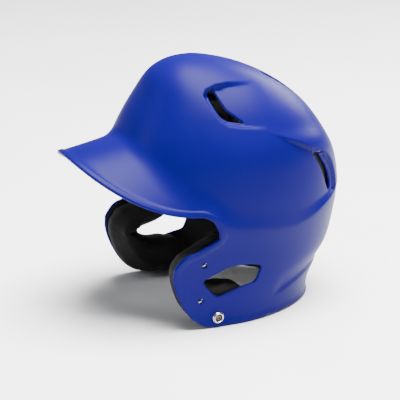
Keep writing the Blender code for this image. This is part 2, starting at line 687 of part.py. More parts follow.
def main():
    clear_scene()
    shell_blue = material("shell_paint", (0.020, 0.045, 0.47), 0.42)
    foam_black = material("liner_foam", (0.012, 0.012, 0.013), 0.9)
    pad_cloth = material("pad_cloth", (0.030, 0.029, 0.030), 0.85)
    steel = material("plated_steel", (0.72, 0.71, 0.70), 0.22, 1.0)
    brass = material("screw_brass", (0.55, 0.45, 0.30), 0.35, 1.0)
    build_shell(shell_blue)
    build_liner(foam_black, pad_cloth)
    build_hardware(steel, brass)
    bpy.context.view_layer.update()


main()
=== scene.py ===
"""Looks of the batting helmet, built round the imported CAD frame.

Shapes are worked out in millimetres: +Z up, the bill to -Y, the wearer's left +X. Angles
round the shell are in degrees, from 0 at the bill over 90 at the wearer's left to 180 at
the nape. World places are in metres, in the frame's own axes.
"""

import math

import bmesh
import bpy
import numpy as np
from mathutils import Matrix, Vector, kdtree


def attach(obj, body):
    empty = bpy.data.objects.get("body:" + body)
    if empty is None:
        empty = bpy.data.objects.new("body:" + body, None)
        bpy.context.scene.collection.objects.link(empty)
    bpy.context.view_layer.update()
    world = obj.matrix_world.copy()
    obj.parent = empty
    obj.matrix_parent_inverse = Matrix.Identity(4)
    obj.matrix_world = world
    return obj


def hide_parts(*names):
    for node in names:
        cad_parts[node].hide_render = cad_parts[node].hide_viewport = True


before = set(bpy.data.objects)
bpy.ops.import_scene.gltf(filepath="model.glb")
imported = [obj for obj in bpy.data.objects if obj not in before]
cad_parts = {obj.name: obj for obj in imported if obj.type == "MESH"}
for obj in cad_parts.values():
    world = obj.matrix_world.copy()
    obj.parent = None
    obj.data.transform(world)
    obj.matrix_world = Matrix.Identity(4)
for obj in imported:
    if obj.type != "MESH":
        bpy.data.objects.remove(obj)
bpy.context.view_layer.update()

MM = 0.001
ORIGIN_SHIFT_Y = 2.2

TOP = 255.4
SHELL_THICKNESS = 3.2
BILL_HALF_WIDTH = 97.0
BILL_REACH = 118.5
BILL_CENTRE_Y = -30.0
BILL_ROUNDNESS = 2.2
BILL_TIP_Z = 166.3
BILL_ARCH = 0.00515
BILL_RAYS_FROM_Y = 8
LONGEST_RAY = 260.0
RAY_HALVINGS = 40
LIP_WIDTH = 5.0
NOTCH_ANGLE = 72.0
FLAP_FRONT_ANGLE = 51.6
LIP_TO_WALL_ANGLES = (54, 66)
SKIN_TO_WALL_ANGLES = (58, 72)
DOME_ROUNDNESS_FRONT = 2.2
DOME_ROUNDNESS_BACK = 2.1
WALL_ROUNDNESS_FRONT = 2.6
WALL_FRONT_SQUARER = 3.4  # low down
WALL_FRONT_CHANGES_Z = (112, 78)
WALL_ROUNDNESS_BACK = 2.1
WALL_BACK_SOFTER = 0.25  # low down
WALL_BACK_CHANGES_Z = (60, 0)
CREASE_SHARE = 0.7  # of the ledge's width, at most
SHOULDER_SHARE = 0.2  # of the ledge's width, at most
RELIEF_LEANS_ABOVE_Z = 120
SCOOP_DEPTH = 6.0
SCOOP_EDGE_WIDTH = 3.0
SCOOP_FADE_Y = (-22, 44)
REAR_PANEL_RISE = 4.2
PANEL_EDGE_WIDTH = 1.125  # degrees
PANEL_FADE_Z = (172, 194)
PANEL_FADE_ANGLES = (6, 44)  # behind its edge
PANEL_FADE_SHARE = 0.8
NAPE_CREASE_DEPTH = 2.0
NAPE_CREASE_HALF_WIDTH = 1.5
NAPE_HOLLOW_Z = (2, 24)  # above the crease
NAPE_CREASE_START_ANGLES = (117, 127)
NAPE_CREASE_END_ANGLES = (158, 176)


# ---------------------------------------------------------------- the shell's surface

def spline(points):
    """Smooth curve through (x, y) points, as a function of x."""
    xs = np.array([p[0] for p in points], float)
    ys = np.array([p[1] for p in points], float)
    step = np.diff(xs)
    rise = np.diff(ys) / step
    slope = np.zeros(len(xs))
    slope[1:-1] = (rise[:-1] * step[1:] + rise[1:] * step[:-1]) / (step[:-1] + step[1:])
    slope[0] = 1.5 * rise[0] - 0.5 * slope[1]
    slope[-1] = 1.5 * rise[-1] - 0.5 * slope[-2]

    def value(x):
        x = np.clip(np.asarray(x, float), xs[0], xs[-1])
        i = np.clip(np.searchsorted(xs, x) - 1, 0, len(xs) - 2)
        t = (x - xs[i]) / step[i]
        s = 1 - t
        ends = s * s * (1 + 2 * t) * ys[i] + t * t * (3 - 2 * t) * ys[i + 1]
        return ends + t * s * step[i] * (s * slope[i] - t * slope[i + 1])

    return value


def by_height(points):
    """Spline over height, spaced so that it is smooth where the dome closes at the top."""
    def depth(z):
        return np.sqrt(np.clip((TOP - np.asarray(z, float)) / TOP, 0, 1))

    curve = spline([(float(depth(z)), v) for z, v in points])
    return lambda z: curve(depth(z))


def smooth(x, start, end):
    """Eased step from 0 at the start to 1 at the end."""
    t = np.clip((np.asarray(x, float) - start) / (end - start), 0, 1)
    return t * t * (3 - 2 * t)


MIDDLE = by_height([(TOP, -12), (239, -8), (203, 0), (150, 8), (100, 8), (50, 0), (0, -5)])
DOME_FRONT = by_height([(TOP, -12), (252.3, -34), (242, -52), (214, -69), (183, -85.6),
                        (150, -100), (113, -110), (60, -112), (0, -105)])
DOME_BACK = by_height([(TOP, -12), (252.3, 9.7), (244.2, 38.6), (222.8, 81.2), (196.4, 112),
                       (162.8, 132), (126, 140.5), (93, 141), (0, 141)])
DOME_SIDE = by_height([(TOP, 0), (239, 45.5), (203.5, 77.8), (173, 92), (140, 96.5),
                       (110, 97.5), (0, 97.5)])
WALL_BACK = by_height([(TOP, 0), (162.8, 135.2), (126, 143.6), (93, 142.4), (60, 135.8),
                       (36, 123.8), (17, 117.6), (0, 117.2)])
WALL_SIDE = by_height([(251, 102), (118, 102), (105, 100.5), (95, 98), (80, 94.5),
                       (60, 91.5), (30, 90.2), (0, 89.3)])

CREASE = spline([(0, 178), (12, 176.8), (25, 170.5), (48, 146.5), (65, 132), (80, 119.5),
                 (97, 113), (108, 111.5), (122, 110), (135, 113.5), (147, 117), (180, 121)])
SHOULDER = spline([(58, 123), (63.5, 122), (68.5, 118), (72.5, 112), (77, 104.5), (84, 101),
                   (92, 99.8), (109, 97.4), (121, 97), (132, 102), (141, 109), (150, 114),
                   (180, 116)])
LIP = spline([(58, 118.5), (64, 116.8), (66, 114.5), (68, 111), (70, 104.5), (72, 96.8),
              (80, 93), (92, 91), (110, 88), (121, 88), (132, 93), (150, 104), (180, 106)])
RIM = spline([(72, 1.6), (76, 0.4), (80, -0.6), (88, -1.2), (98, -0.8), (108, 0.6), (120, 1.7),
              (138, 1.9), (152, 0.9), (165, -0.6), (180, -1)])
FLAP_TOP = spline([(FLAP_FRONT_ANGLE, 66.5), (54, 74.6), (62, 83.4), (70, 92.1), (71, 93.5),
                   (NOTCH_ANGLE, 96.8)])
FLAP_BOTTOM = spline([(FLAP_FRONT_ANGLE, 56), (53, 45.6), (55.7, 33.4), (61.7, 15), (65.5, 8.2),
                      (69, 4), (NOTCH_ANGLE, 1.6)])
NAPE_CREASE = spline([(100, 12), (124.7, 24), (152, 37), (180, 42)])
CREASE_RADIUS = spline([(0, 7), (18, 10), (48, 15), (65, 12), (80, 7), (96, 3.5), (107, 2.5),
                        (135, 2), (147, 1.2), (180, 1.2)])
SHOULDER_RADIUS = spline([(0, 2.2), (40, 2.2), (60, 2.2), (70, 2.3), (80, 4), (92, 4.5),
                          (109, 3), (121, 2.5), (135, 1.8), (147, 1.2), (180, 1.2)])

# Outlines in side view, (y, z), on the left side
SCOOP_EDGE = [(60, 240), (26.6, 235.5), (3.9, 237.2), (-10, 236.2), (-22, 232.8), (-26.5, 228),
              (-23.5, 218), (-17.6, 206.5), (-10.3, 201.6), (4, 198.6), (20, 196), (60, 190)]
EAR_PORT = [(-37.8, 51.0), (-31.4, 53.5), (-11.2, 61.5), (11.4, 62.0), (25.8, 58.0),
            (19.7, 42.5), (2.4, 39.0), (-20.7, 31.5), (-27.6, 35.5), (-37.2, 47.0)]
FRONT_VENT = [(-12.6, 231.0), (-18.8, 227.6), (-18.4, 222.0), (-16.0, 214.0), (-12.0, 207.6),
              (-7.0, 204.4), (9.0, 201.6), (-5.5, 213.0), (-9.5, 222.5)]
# Outline from behind, (x, z), and from above, (x, y)
REAR_VENT = [(74.0, 163.2), (70.0, 160.0), (65.0, 149.0), (60.9, 136.0), (59.3, 126.0),
             (60.4, 119.5), (63.6, 119.5), (66.8, 128.0), (69.0, 138.5), (71.3, 149.6)]
CROWN_SLOT = [(13.0, 55.0), (20.0, 57.0), (22.0, 88.0), (15.5, 90.5)]

INSERT_PLACES = {"upper": (66.3, 67.5), "lower": (67.0, 30.0)}
SNAP_PLACE = (79.0, 10.5)
HOLE_RADIUS = 3.4


def outline_distance(outline, u, v):
    """Distance outside (positive) or inside (negative) a closed outline."""
    nearest = np.full(np.shape(u), 1e9)
    inside = np.zeros(np.shape(u), bool)
    for (ax, ay), (bx, by) in zip(outline[-1:] + outline[:-1], outline):
        length = (bx - ax) ** 2 + (by - ay) ** 2
        t = np.clip(((u - ax) * (bx - ax) + (v - ay) * (by - ay)) / length, 0, 1)
        nearest = np.minimum(nearest, np.hypot(u - ax - t * (bx - ax), v - ay - t * (by - ay)))
        crosses = (ay > v) != (by > v)
        height = by - ay if by != ay else 1.0
        inside ^= crosses & (u < (bx - ax) * (v - ay) / height + ax)
    return np.where(inside, -nearest, nearest)


def ring(angle, z, side, front, back, roundness_front, roundness_back):
    """Point of a level oval with its own half width, front and back at each height."""
    turn = np.radians(angle)
    s = np.sin(turn)
    c = np.cos(turn)
    middle = MIDDLE(z)
    width = np.maximum(side, 1e-6)
    length = np.maximum(np.where(c > 0, middle - front, back - middle), 1e-6)
    n = np.where(c > 0, roundness_front, roundness_back)
    radius = (np.abs(s / width) ** n + np.abs(c / length) ** n) ** (-1 / n)
    return np.stack([radius * s, middle - radius * c, z + 0 * radius], -1)


PANEL_EDGE = spline([(112, 155), (124, 154.5), (138, 153), (150, 150), (159.5, 145), (167, 137),
                     (178, 126), (187, 116), (196, 104)])


def relief(angle, z, flat):
    """Height of the scoops (below the dome) and of the rear panel (above it)."""
    depth = -outline_distance(SCOOP_EDGE, flat[..., 1], flat[..., 2])
    scoop = smooth(depth, 0.0, SCOOP_EDGE_WIDTH) * (1 - smooth(flat[..., 1], *SCOOP_FADE_Y))
    past_edge = angle - PANEL_EDGE(z)
    inside = smooth(past_edge, -PANEL_EDGE_WIDTH, 0)
    fade = 1 - smooth(z, *PANEL_FADE_Z)
    fade = fade * (1 - PANEL_FADE_SHARE * smooth(past_edge, *PANEL_FADE_ANGLES))
    return REAR_PANEL_RISE * inside * fade - SCOOP_DEPTH * scoop


def dome(angle, z):
    """Point of the dome, with its scoops and rear panel."""
    z = np.asarray(z, float)
    flat = ring(angle, z, DOME_SIDE(z), DOME_FRONT(z), DOME_BACK(z),
                DOME_ROUNDNESS_FRONT, DOME_ROUNDNESS_BACK)
    lift = relief(angle, z, flat)[..., None]
    turn = np.radians(angle)
    lean = smooth(z, RELIEF_LEANS_ABOVE_Z, TOP)
    outward = np.stack([np.sin(turn), -np.cos(turn), lean + 0 * turn], -1)
    return flat + outward * (lift / np.linalg.norm(outward, axis=-1, keepdims=True))


def wall(angle, z):
    """Point of the wall under the ledge; it squares off at the front as it goes down."""
    z = np.asarray(z, float)
    roundness_front = WALL_ROUNDNESS_FRONT + WALL_FRONT_SQUARER * smooth(z, *WALL_FRONT_CHANGES_Z)
    roundness_back = WALL_ROUNDNESS_BACK - WALL_BACK_SOFTER * smooth(z, *WALL_BACK_CHANGES_Z)
    point = ring(angle, z, WALL_SIDE(z), DOME_FRONT(z), WALL_BACK(z),
                 roundness_front, roundness_back)
    turn = np.radians(angle + 0 * z)
    above = z - NAPE_CREASE(angle)
    sink = NAPE_CREASE_DEPTH * smooth(above, -NAPE_CREASE_HALF_WIDTH, NAPE_CREASE_HALF_WIDTH)
    sink = sink * (1 - smooth(above, *NAPE_HOLLOW_Z))
    sink = sink * smooth(angle, *NAPE_CREASE_START_ANGLES)
    sink = sink * (1 - smooth(angle, *NAPE_CREASE_END_ANGLES))
    outward = np.stack([np.sin(turn), -np.cos(turn), 0 * turn], -1)
    return point - outward * np.asarray(sink)[..., None]


def bill_edge(angle):
    """Where the ray at this angle meets the arched outline of the bill."""
    s = np.sin(np.radians(angle))
    c = np.cos(np.radians(angle))
    low = np.zeros_like(s)
    high = np.full_like(s, LONGEST_RAY)
    for _ in range(RAY_HALVINGS):
        radius = (low + high) / 2
        x = radius * s
        y = BILL_RAYS_FROM_Y - radius * c
        curved = (np.abs(x / BILL_HALF_WIDTH) ** BILL_ROUNDNESS
                  + np.abs((y - BILL_CENTRE_Y) / BILL_REACH) ** BILL_ROUNDNESS - 1)
        inside = np.where(y > BILL_CENTRE_Y, x / BILL_HALF_WIDTH - 1, curved) < 0
        low = np.where(inside, radius, low)
        high = np.where(inside, high, radius)
    return np.stack([x, y, BILL_TIP_Z - BILL_ARCH * x * x], -1)


def blend(a, b, share):
    share = np.asarray(share)[..., None]
    return a * (1 - share) + b * share


def toward(a, b, distance):
    """Point at this distance from a on the way to b."""
    path = b - a
    return a + path / np.linalg.norm(path, axis=-1, keepdims=True) * np.asarray(distance)[..., None]


def corner(a, b, c, t):
    """Point of the curve from a to c that turns at b."""
    return a * (1 - t) ** 2 + b * 2 * t * (1 - t) + c * t * t


def skin(angle, level):
    """Points of the outer skin. Level counts down it: the dome up to 1, then the crease, the
    ledge, the shoulder and the lip, one each, and the wall and the flap from 5 to 6."""
    part = np.clip(np.ceil(level) - 1, 0, 5)
    t = np.clip(level - part, 0, 1)
    s = t[..., None]
    crease_gap = CREASE_RADIUS(angle)
    shoulder_gap = SHOULDER_RADIUS(angle)
    crease = dome(angle, CREASE(angle))
    on_wall = smooth(angle, *SKIN_TO_WALL_ANGLES)
    lip = blend(bill_edge(angle), wall(angle, LIP(angle)), smooth(angle, *LIP_TO_WALL_ANGLES))
    shoulder = blend(toward(lip, crease, LIP_WIDTH + 0 * angle),
                     wall(angle, SHOULDER(angle)), on_wall)
    start_z = CREASE(angle) + crease_gap
    above = dome(angle, start_z)
    ledge = np.linalg.norm(shoulder - crease, axis=-1)
    after = toward(crease, shoulder, np.minimum(crease_gap, CREASE_SHARE * ledge))
    before = toward(shoulder, crease, np.minimum(shoulder_gap, SHOULDER_SHARE * ledge))
    below = blend(toward(shoulder, lip, shoulder_gap),
                  wall(angle, SHOULDER(angle) - shoulder_gap), on_wall)
    on_skin = wall(angle, (SHOULDER(angle) - shoulder_gap) * (1 - t) + LIP(angle) * t)
    high = np.where(angle < NOTCH_ANGLE, FLAP_TOP(angle), LIP(angle))
    low = np.where(angle < NOTCH_ANGLE, FLAP_BOTTOM(angle), np.maximum(RIM(angle), 0.0))
    choices = [
        dome(angle, TOP - (TOP - start_z) * (1 - np.cos(math.pi / 2 * t))),
        corner(above, crease, after, s),
        after + (before - after) * s,
        corner(before, shoulder, below, s),
        blend(below + (lip - below) * s, on_skin, on_wall),
        wall(angle, high + (low - high) * t),
    ]
    picked = choices[0]
    for number in range(1, 6):
        picked = np.where((part == number)[..., None], choices[number], picked)
    return picked


# ---------------------------------------------------------------- sheet of faces on the skin

class Sheet:
    """Faces on the skin, with each vertex's angle and level; places are found from them."""

    def __init__(self):
        self.angle = []
        self.level = []
        self.faces = []

    def add(self, angle, level):
        self.angle.append(float(angle))
        self.level.append(float(level))
        return len(self.angle) - 1

    def grid(self, rows):
        for upper, lower in zip(rows[:-1], rows[1:]):
            for i in range(len(upper) - 1):
                loop = []
                for vert in (upper[i], lower[i], lower[i + 1], upper[i + 1]):
                    if vert not in loop:
                        loop.append(vert)
                self.faces.append(loop)

    def place(self):
        self.points = skin(np.array(self.angle), np.array(self.level))

    def refine(self, chosen):
        """Splits the chosen quads into four; neighbours get the new points in their loops."""
        middle = {}

        def halfway(a, b):
            key = (min(a, b), max(a, b))
            if key not in middle:
                middle[key] = self.add((self.angle[a] + self.angle[b]) / 2,
                                       (self.level[a] + self.level[b]) / 2)
            return middle[key]

        made = []
        for number in chosen:
            loop = self.faces[number]
            centre = self.add(sum(self.angle[v] for v in loop) / 4,
                              sum(self.level[v] for v in loop) / 4)
            mids = [halfway(loop[i - 1], loop[i]) for i in range(4)]
            made += [[mids[i], loop[i], mids[(i + 1) % 4], centre] for i in range(4)]
        kept = []
        skip = set(chosen)
        for number, loop in enumerate(self.faces):
            if number in skip:
                continue
            longer = []
            for i, vert in enumerate(loop):
                key = (min(loop[i - 1], vert), max(loop[i - 1], vert))
                if key in middle:
                    longer.append(middle[key])
                longer.append(vert)
            kept.append(longer)
        self.faces = kept + made
        self.place()


def rounded(outline, reach, steps=4):
    """The outline with each corner turned into a short curve."""
    made = []
    for i in range(len(outline)):
        before = np.array(outline[i - 1], float)
        here = np.array(outline[i], float)
        after = np.array(outline[(i + 1) % len(outline)], float)
        first = min(reach, 0.45 * np.linalg.norm(before - here))
        last = min(reach, 0.45 * np.linalg.norm(after - here))
        start = here + (before - here) / np.linalg.norm(before - here) * first
        end = here + (after - here) / np.linalg.norm(after - here) * last
        for k in range(steps + 1):
            t = k / steps
            made.append(tuple(start * (1 - t) ** 2 + here * 2 * t * (1 - t) + end * t * t))
    return made


FAR = 99.0
SLOPE_STEP = 0.05
LEAST_FACING = 0.2
EDGE_DIVISIONS = 8
SNAP_REACH = 4.0
SNAP_SHARE = 0.38  # of the shortest side at a vertex
LONGEST_SIDE = 9.0


class Opening:
    """A hole through the sheet, with an outline seen along an axis, cut only around a place."""

    def __init__(self, outline, across, up, around, reach, origin=(0, 0, 0)):
        self.outline = outline
        self.across = np.array(across, float)
        self.up = np.array(up, float)
        self.axis = np.cross(self.across, self.up)
        self.origin = np.array(origin, float)
        self.around = np.array(around, float)
        self.reach = reach

    def distance(self, points):
        local = points - self.origin
        found = outline_distance(self.outline, local @ self.across, local @ self.up)
        far = np.linalg.norm(points - self.around, axis=-1) > self.reach
        return np.where(far, FAR, found)

    def moves(self, points, normals, value):
        """Steps along the skin that bring points on to the outline."""
        step = SLOPE_STEP
        du = self.distance(points + self.across * step) - self.distance(points - self.across * step)
        dv = self.distance(points + self.up * step) - self.distance(points - self.up * step)
        slope = (du[:, None] * self.across + dv[:, None] * self.up) / (2 * step)
        move = -value[:, None] * slope
        facing = normals @ self.axis
        facing = np.where(np.abs(facing) < LEAST_FACING, LEAST_FACING, facing)
        slide = -np.sum(normals * move, -1) / facing
        return move + slide[:, None] * self.axis


class Edge:
    """The outline of the sheet itself, as something to keep a distance from."""

    def __init__(self, places):
        closed = np.concatenate([places, places[:1]])
        dense = [a + (b - a) * k / EDGE_DIVISIONS
                 for a, b in zip(closed[:-1], closed[1:]) for k in range(EDGE_DIVISIONS)]
        self.tree = kdtree.KDTree(len(dense))
        for number, place in enumerate(dense):
            self.tree.insert(place, number)
        self.tree.balance()

    def distance(self, points):
        return np.array([self.tree.find(p)[2] for p in points])

    def moves(self, points, normals, value):
        nearest = np.array([self.tree.find(p)[0] for p in points])
        away = points - nearest
        away -= normals * np.sum(away * normals, -1, keepdims=True)
        length = np.maximum(np.linalg.norm(away, axis=-1, keepdims=True), 1e-6)
        return -value[:, None] * away / length


def vertex_normals(points, faces):
    """Unit normals, each weighted by the areas of the faces at the vertex."""
    total = np.zeros_like(points)
    for count in {len(f) for f in faces}:
        group = np.array([f for f in faces if len(f) == count])
        corners = points[group]
        normal = np.zeros((len(group), 3))
        for i in range(1, count - 1):
            normal += np.cross(corners[:, i] - corners[:, 0], corners[:, i + 1] - corners[:, 0])
        for i in range(count):
            np.add.at(total, group[:, i], normal)
    return total / np.maximum(np.linalg.norm(total, axis=-1, keepdims=True), 1e-12)


def cut_opening(points, faces, opening, margin):
    """Removes what lies inside an opening, with vertices moved on to its edge."""
    normals = vertex_normals(points, faces)
    value = opening.distance(points) - margin
    near = np.abs(value) < SNAP_REACH
    shortest = np.full(len(points), LONGEST_SIDE)
    for face in faces:
        if not near[face[0]]:
            continue
        for i in range(len(face)):
            a, b = face[i - 1], face[i]
            length = np.linalg.norm(points[a] - points[b])
            shortest[a] = min(shortest[a], length)
            shortest[b] = min(shortest[b], length)
    snapped = np.where(near & (np.abs(value) < SNAP_SHARE * shortest))[0]
    if len(snapped):
        points = points.copy()
        points[snapped] += opening.moves(points[snapped], normals[snapped], value[snapped])
        value = opening.distance(points) - margin
        value[snapped] = 0.0
    added = []
    crossing = {}

    def cross(a, b):
        key = (min(a, b), max(a, b))
        if key not in crossing:
            t = value[key[0]] / (value[key[0]] - value[key[1]])
            added.append(points[key[0]] * (1 - t) + points[key[1]] * t)
            crossing[key] = len(points) + len(added) - 1
        return crossing[key]

    kept = []
    for face in faces:
        values = value[face]
        if values.min() >= 0:
            if values.max() > 0:
                kept.append(face)
            continue
        if values.max() <= 0:
            continue
        loop = []
        for i in range(len(face)):
            a, b = face[i - 1], face[i]
            if value[a] * value[b] < 0:
                loop.append(cross(a, b))
            if value[b] >= 0:
                loop.append(b)
        if len(loop) > 2:
            kept.append(loop)
    if added:
        points = np.concatenate([points, np.array(added)])
    return points, kept


SECTION_ROWS = (58, 6, 8, 5, 4)
WALL_ROWS = 44
FLAP_TOP_LEVEL = 5.000001  # just past the lip's level, so that it is taken on the flap

# Columns as (first angle, last angle, count)
FRONT_COLUMNS = ((0, 46, 33), (47.2, 64.5, 15), (65.2, 71.3, 11))
REAR_COLUMNS = ((NOTCH_ANGLE, 80, 9), (81.2, 180, 72))
FLAP_COLUMNS = (56.4, 71.2, 16)
FLAP_EDGE_COLUMNS = (0, 0.12, 0.4, 0.9, 1.6, 2.5, 3.6)  # degrees behind the flap's front


def level_steps(sections):
    """Levels down the sheet, given the number of steps in each section."""
    levels = [np.array([0.0])]
    for number, count in enumerate(sections):
        levels.append(number + np.arange(1, count + 1) / count)
    return np.concatenate(levels)


def half_sheet():
    """Left half of the skin: close columns where the notch turns, and a flap in front of it."""
    front = np.concatenate([np.linspace(*section) for section in FRONT_COLUMNS])
    rear = np.concatenate([np.linspace(*section) for section in REAR_COLUMNS])
    columns = np.concatenate([front, rear])
    sheet = Sheet()
    apex = sheet.add(0, 0)
    rows = [[apex] * len(columns)]
    for level in level_steps(SECTION_ROWS)[1:]:
        rows.append([sheet.add(angle, level) for angle in columns])
    sheet.grid(rows)
    lower_levels = 5 + np.arange(1, WALL_ROWS + 1) / WALL_ROWS
    lower = [rows[-1][len(front):]]
    for level in lower_levels:
        lower.append([sheet.add(angle, level) for angle in rear])
    sheet.grid(lower)
    flap = np.concatenate([FLAP_FRONT_ANGLE + np.array(FLAP_EDGE_COLUMNS),
                           np.linspace(*FLAP_COLUMNS)])
    flap_rows = [[sheet.add(angle, FLAP_TOP_LEVEL) for angle in flap]]
    for level in lower_levels:
        flap_rows.append([sheet.add(angle, level) for angle in flap])
    sheet.grid([row + [edge[0]] for row, edge in zip(flap_rows, lower)])
    sheet.place()
    return sheet


FRAME_STEP = 0.5


def surface_frame(angle, z):
    """Point on the wall, with the outward direction there, in millimetres."""
    point = wall(np.float64(angle), z)
    across = wall(np.float64(angle + FRAME_STEP), z) - wall(np.float64(angle - FRAME_STEP), z)
    upward = wall(np.float64(angle), z + FRAME_STEP) - wall(np.float64(angle), z - FRAME_STEP)
    outward = np.cross(across, upward)
    outward /= np.linalg.norm(outward)
    return point, outward if outward[0] > 0 else -outward


HOLE_SIDES = 40
HOLE_REACH = 25.0


def round_opening(angle, z):
    """A screw hole through the wall."""
    point, outward = surface_frame(angle, z)
    across = np.cross((0, 0, 1), outward)
    across /= np.linalg.norm(across)
    up = np.cross(outward, across)
    turns = [2 * math.pi * i / HOLE_SIDES for i in range(HOLE_SIDES)]
    outline = [(HOLE_RADIUS * math.cos(a), HOLE_RADIUS * math.sin(a)) for a in turns]
    return Opening(outline, across, up, point, HOLE_REACH, point)


RIM_BULGE = 1.5
RIM_STEPS = 7
RIM_FULLNESS = 0.75
HOLE_MARGIN = 0.5
BORDER_RISE = 1.0
BORDER_WIDTH = 6.2
BORDER_NARROWER = 2.4  # behind the ear
BORDER_NARROWS_Y = (0, 60)
BORDER_EDGE = 0.9
EVENING_PASSES = 3


def open_edges(faces):
    """Directed edges that only one face uses, from each vertex to the next."""
    used = {}
    for face in faces:
        for i in range(len(face)):
            used[(face[i - 1], face[i])] = True
    return {a: b for a, b in used if (b, a) not in used}


def border_frame(points, faces, following):
    """For the vertices of open edges: their numbers, and directions off the sheet."""
    normals = vertex_normals(points, faces)
    before = {b: a for a, b in following.items()}
    index = np.array(sorted(following))
    ahead = points[[following[i] for i in index]]
    behind = points[[before[i] for i in index]]
    along = ahead - behind
    along /= np.maximum(np.linalg.norm(along, axis=-1, keepdims=True), 1e-9)
    off = np.cross(along, normals[index])
    spot = {int(v): k for k, v in enumerate(index)}
    ahead = [spot[following[int(v)]] for v in index]
    behind = [spot[before[int(v)]] for v in index]
    for _ in range(EVENING_PASSES):
        off /= np.maximum(np.linalg.norm(off, axis=-1, keepdims=True), 1e-9)
        off = off + 0.5 * (off[ahead] + off[behind])
    off /= np.maximum(np.linalg.norm(off, axis=-1, keepdims=True), 1e-9)
    return index, off


# Axes across and up, in each view
SIDE_VIEW = ((0, 1, 0), (0, 0, 1))
REAR_VIEW = ((1, 0, 0), (0, 0, 1))
TOP_VIEW = ((1, 0, 0), (0, 1, 0))

# Quads are finer within these distances of an edge
FINE_BY_OPENING = 2.6
FINE_BY_HOLE = 3.4
FINEST_BY_HOLE = 1.8
FINE_BY_SCOOP = 4
FINE_BY_PANEL = 2.2  # degrees


def build_shell_mesh():
    """The outer sheet with its openings cut, both halves."""
    sheet = half_sheet()
    openings = [
        Opening(rounded(EAR_PORT, 3.5), *SIDE_VIEW, around=(90, -5, 45), reach=60),
        Opening(rounded(FRONT_VENT, 1.5), *SIDE_VIEW, around=(66, -10, 215), reach=45),
        Opening(rounded(REAR_VENT, 2.0), *REAR_VIEW, around=(62, 108, 142), reach=50),
        Opening(rounded(CROWN_SLOT, 2.2), *TOP_VIEW, around=(17, 72, 228), reach=40),
    ]
    holes = [round_opening(*place) for place in [*INSERT_PLACES.values(), SNAP_PLACE]]

    def touching(limit, which):
        near = np.zeros(len(sheet.points), bool)
        for opening in which:
            near |= np.abs(opening.distance(sheet.points)) < limit
        return near

    def refine(near):
        sheet.refine([i for i, f in enumerate(sheet.faces) if len(f) == 4 and near[f].any()])

    # The edge of the scoop short of where it fades out, and the edge of the rear panel
    x, y, z = sheet.points.T
    scoop = np.abs(outline_distance(SCOOP_EDGE[1:-1] + [(26, 197)], y, z)) < FINE_BY_SCOOP
    scoop &= (y < 30) & (x > 40) & (z > 185)
    panel = np.abs(np.array(sheet.angle) - PANEL_EDGE(z)) < FINE_BY_PANEL
    panel &= (np.array(sheet.level) < 1.2) & (z < 196)
    refine(touching(FINE_BY_OPENING, openings) | touching(FINE_BY_HOLE, holes) | scoop | panel)
    refine(touching(FINEST_BY_HOLE, holes))
    points, faces = sheet.points, sheet.faces
    for opening in openings + holes:
        margin = RIM_BULGE if opening in openings else HOLE_MARGIN
        points, faces = cut_opening(points, faces, opening, margin)
    return mirrored_sheet(points, faces)


def without_loose(points, faces):
    """The sheet without its unused vertices."""
    used = sorted({v for f in faces for v in f})
    renumber = {v: i for i, v in enumerate(used)}
    return points[used], [[renumber[v] for v in f] for f in faces]


def mirrored_sheet(points, faces):
    """Both halves as one sheet, facing outward, without unused vertices."""
    points, faces = without_loose(points, faces)
    on_plane = np.abs(points[:, 0]) < 0.01
    points[on_plane, 0] = 0.0
    off_plane = np.where(~on_plane)[0]
    twin = np.arange(len(points))
    twin[off_plane] = len(points) + np.arange(len(off_plane))
    copies = points[off_plane] * np.array([-1.0, 1.0, 1.0])
    both = np.concatenate([points, copies])
    return both, faces + [[int(twin[v]) for v in reversed(f)] for f in faces]


def loops_from(following):
    """Closed loops of vertices, from each vertex's next one."""
    left = dict(following)
    loops = []
    while left:
        start, here = left.popitem()
        loop = [start]
        while here != start:
            loop.append(here)
            here = left.pop(here)
        loops.append(loop)
    return loops


def thicken(points, faces):
    """Closed shell with a raised border and rounded edges, from the outer sheet.

    Gives its points and faces, and the range of the vertices on the inner side.
    """
    outline = max(loops_from(open_edges(faces)), key=len)
    edge = Edge(points[outline])
    points, faces = without_loose(*cut_opening(points, faces, edge, RIM_BULGE))
    following = open_edges(faces)
    normals = vertex_normals(points, faces)
    distance = edge.distance(points)
    width = BORDER_WIDTH - BORDER_NARROWER * smooth(points[:, 1], *BORDER_NARROWS_Y)
    lift = BORDER_RISE * (1 - smooth(distance, width - BORDER_EDGE, width + BORDER_EDGE))
    points = points + normals * lift[:, None]
    index, off = border_frame(points, faces, following)
    normals = vertex_normals(points, faces)
    inner = points - normals * (SHELL_THICKNESS + lift[:, None])
    count = len(points)
    strips = [{int(v): int(v) for v in index}]
    made = [points, inner]
    total = 2 * count
    for step in range(1, RIM_STEPS):
        turn = math.pi * step / RIM_STEPS
        bulge = np.sin(turn) ** RIM_FULLNESS * RIM_BULGE
        across = (1 - math.cos(turn)) / 2
        rim = points[index] * (1 - across) + inner[index] * across + off * bulge
        rim[:, 2] = np.maximum(rim[:, 2], 0.0)
        made.append(rim)
        strips.append({int(v): total + k for k, v in enumerate(index)})
        total += len(index)
    strips.append({int(v): int(v) + count for v in index})
    solid = [list(f) for f in faces] + [[v + count for v in reversed(f)] for f in faces]
    for upper, lower in zip(strips[:-1], strips[1:]):
        for a, b in following.items():
            solid.append([upper[b], upper[a], lower[a], lower[b]])
    return np.concatenate(made), solid, (count, 2 * count)


